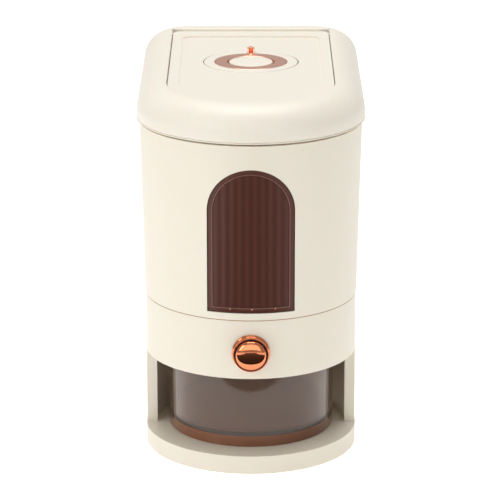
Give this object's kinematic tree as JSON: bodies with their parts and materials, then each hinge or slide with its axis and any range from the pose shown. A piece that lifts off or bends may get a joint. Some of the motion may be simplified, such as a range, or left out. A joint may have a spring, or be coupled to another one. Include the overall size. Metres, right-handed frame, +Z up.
{
  "type": "burr coffee grinder",
  "caption": "D-shaped cream burr coffee grinder with a hinged flap lid, arched bean window, copper start button and a smoked grounds cup that slides out.",
  "frame": {"origin": "on the surface it stands on, under the middle of its overall box", "axes": "+Z up, -Y towards the rounded front with the start button, +X to the right of someone facing it from behind; X is the width"},
  "size_m": [0.1384, 0.2452, 0.231],
  "materials": {
    "cream_plastic": "satin warm cream moulding",
    "cream_lid": "satin warm cream moulding",
    "smoked_window": "smoked brown translucent polycarbonate",
    "smoked_cup": "smoked grey-brown transparent tritan",
    "cup_brown": "soft copper-brown silicone",
    "rose_chrome": "polished rose copper plating",
    "rose_satin": "satin rose copper",
    "dark_rubber": "dark rubber",
    "black_plastic": "black moulding",
    "grey_plastic": "grey moulding",
    "gear_plastic": "natural acetal",
    "steel": "bright steel",
    "burr_steel": "hardened ground steel",
    "motor_steel": "zinc plated steel",
    "brass": "plain brass",
    "board_green": "solder masked board"
  },
  "bodies": {
    "housing": {"base_plate": "cream_plastic", "bottom_cover": "grey_plastic", "foot_pads": "dark_rubber", "base_screws": "steel", "lower_housing": "cream_plastic", "rear_cover": "cream_plastic", "rear_cover_frame": "grey_plastic", "rear_cover_screws": "steel", "power_inlet": "black_plastic", "inlet_pins": "brass", "control_board": "board_green", "gear_deck": "steel", "motor": "motor_steel", "motor_screws": "steel", "idler_axle": "steel", "idler_spacer": "brass", "spindle_bush": "brass", "upper_burr": "burr_steel", "burr_carrier": "grey_plastic", "grind_chamber": "grey_plastic", "chamber_standoffs": "steel", "chute": "black_plastic", "button_bezel": "rose_chrome", "button_spring": "steel", "start_switch": "black_plastic", "switch_bracket": "steel", "upper_housing": "cream_plastic", "window_pane": "smoked_window", "window_gasket": "dark_rubber", "bean_funnel": "grey_plastic", "lid_collar": "cream_lid", "flap_hinge_pins": "steel", "cup_stop_pad": "dark_rubber"},
    "lid": {"lid_flap": "cream_lid", "flap_seal": "dark_rubber", "handle_disc": "cream_lid", "ring_post": "rose_chrome", "ring_pin": "rose_chrome"},
    "ring": {"ring_pull": "rose_satin"},
    "button": {"button_cap": "rose_chrome", "button_clip": "steel"},
    "cup": {"grounds_cup": "smoked_cup", "cup_base": "cup_brown"},
    "rotor": {"motor_shaft": "steel", "motor_pinion": "brass"},
    "idler": {"idler_gear": "gear_plastic"},
    "spindle": {"burr_spindle": "steel", "burr_gear": "gear_plastic", "lower_burr": "burr_steel", "burr_nut": "steel"}
  },
  "joints": [
    {"name": "lid_hinge", "type": "hinge", "parent": "housing", "child": "lid", "pos_m": [0, 0.0956, 0.2258], "axis": [-1, 0, 0], "range_deg": [0, 95]},
    {"name": "ring_flip", "type": "hinge", "parent": "lid", "child": "ring", "pos_m": [0, 0.0363, 0.2293], "axis": [-1, 0, 0], "range_deg": [0, 90]},
    {"name": "button_press", "type": "slide", "parent": "housing", "child": "button", "axis": [0, 1, 0], "range_m": [0, 0.003], "stiffness_N_per_m": 350, "springref_m": -0.002, "deforming": ["button_spring"]},
    {"name": "cup_slide", "type": "slide", "parent": "housing", "child": "cup", "axis": [0, -1, 0], "range_m": [0, 0.12]},
    {"name": "burr_spin", "type": "hinge", "parent": "housing", "child": "spindle", "pos_m": [0, -0.0496, 0.075], "axis": [0, 0, 1], "continuous": true},
    {"name": "idler_spin", "type": "hinge", "parent": "housing", "child": "idler", "pos_m": [0, 0.01115, 0.072], "axis": [0, 0, 1], "continuous": true},
    {"name": "motor_spin", "type": "hinge", "parent": "housing", "child": "rotor", "pos_m": [0, 0.05765, 0.072], "axis": [0, 0, 1], "continuous": true}
  ],
  "couplings": [
    {"joint": "idler_spin", "follows": "burr_spin", "ratio": -0.62},
    {"joint": "motor_spin", "follows": "burr_spin", "ratio": 2.5833}
  ]
}
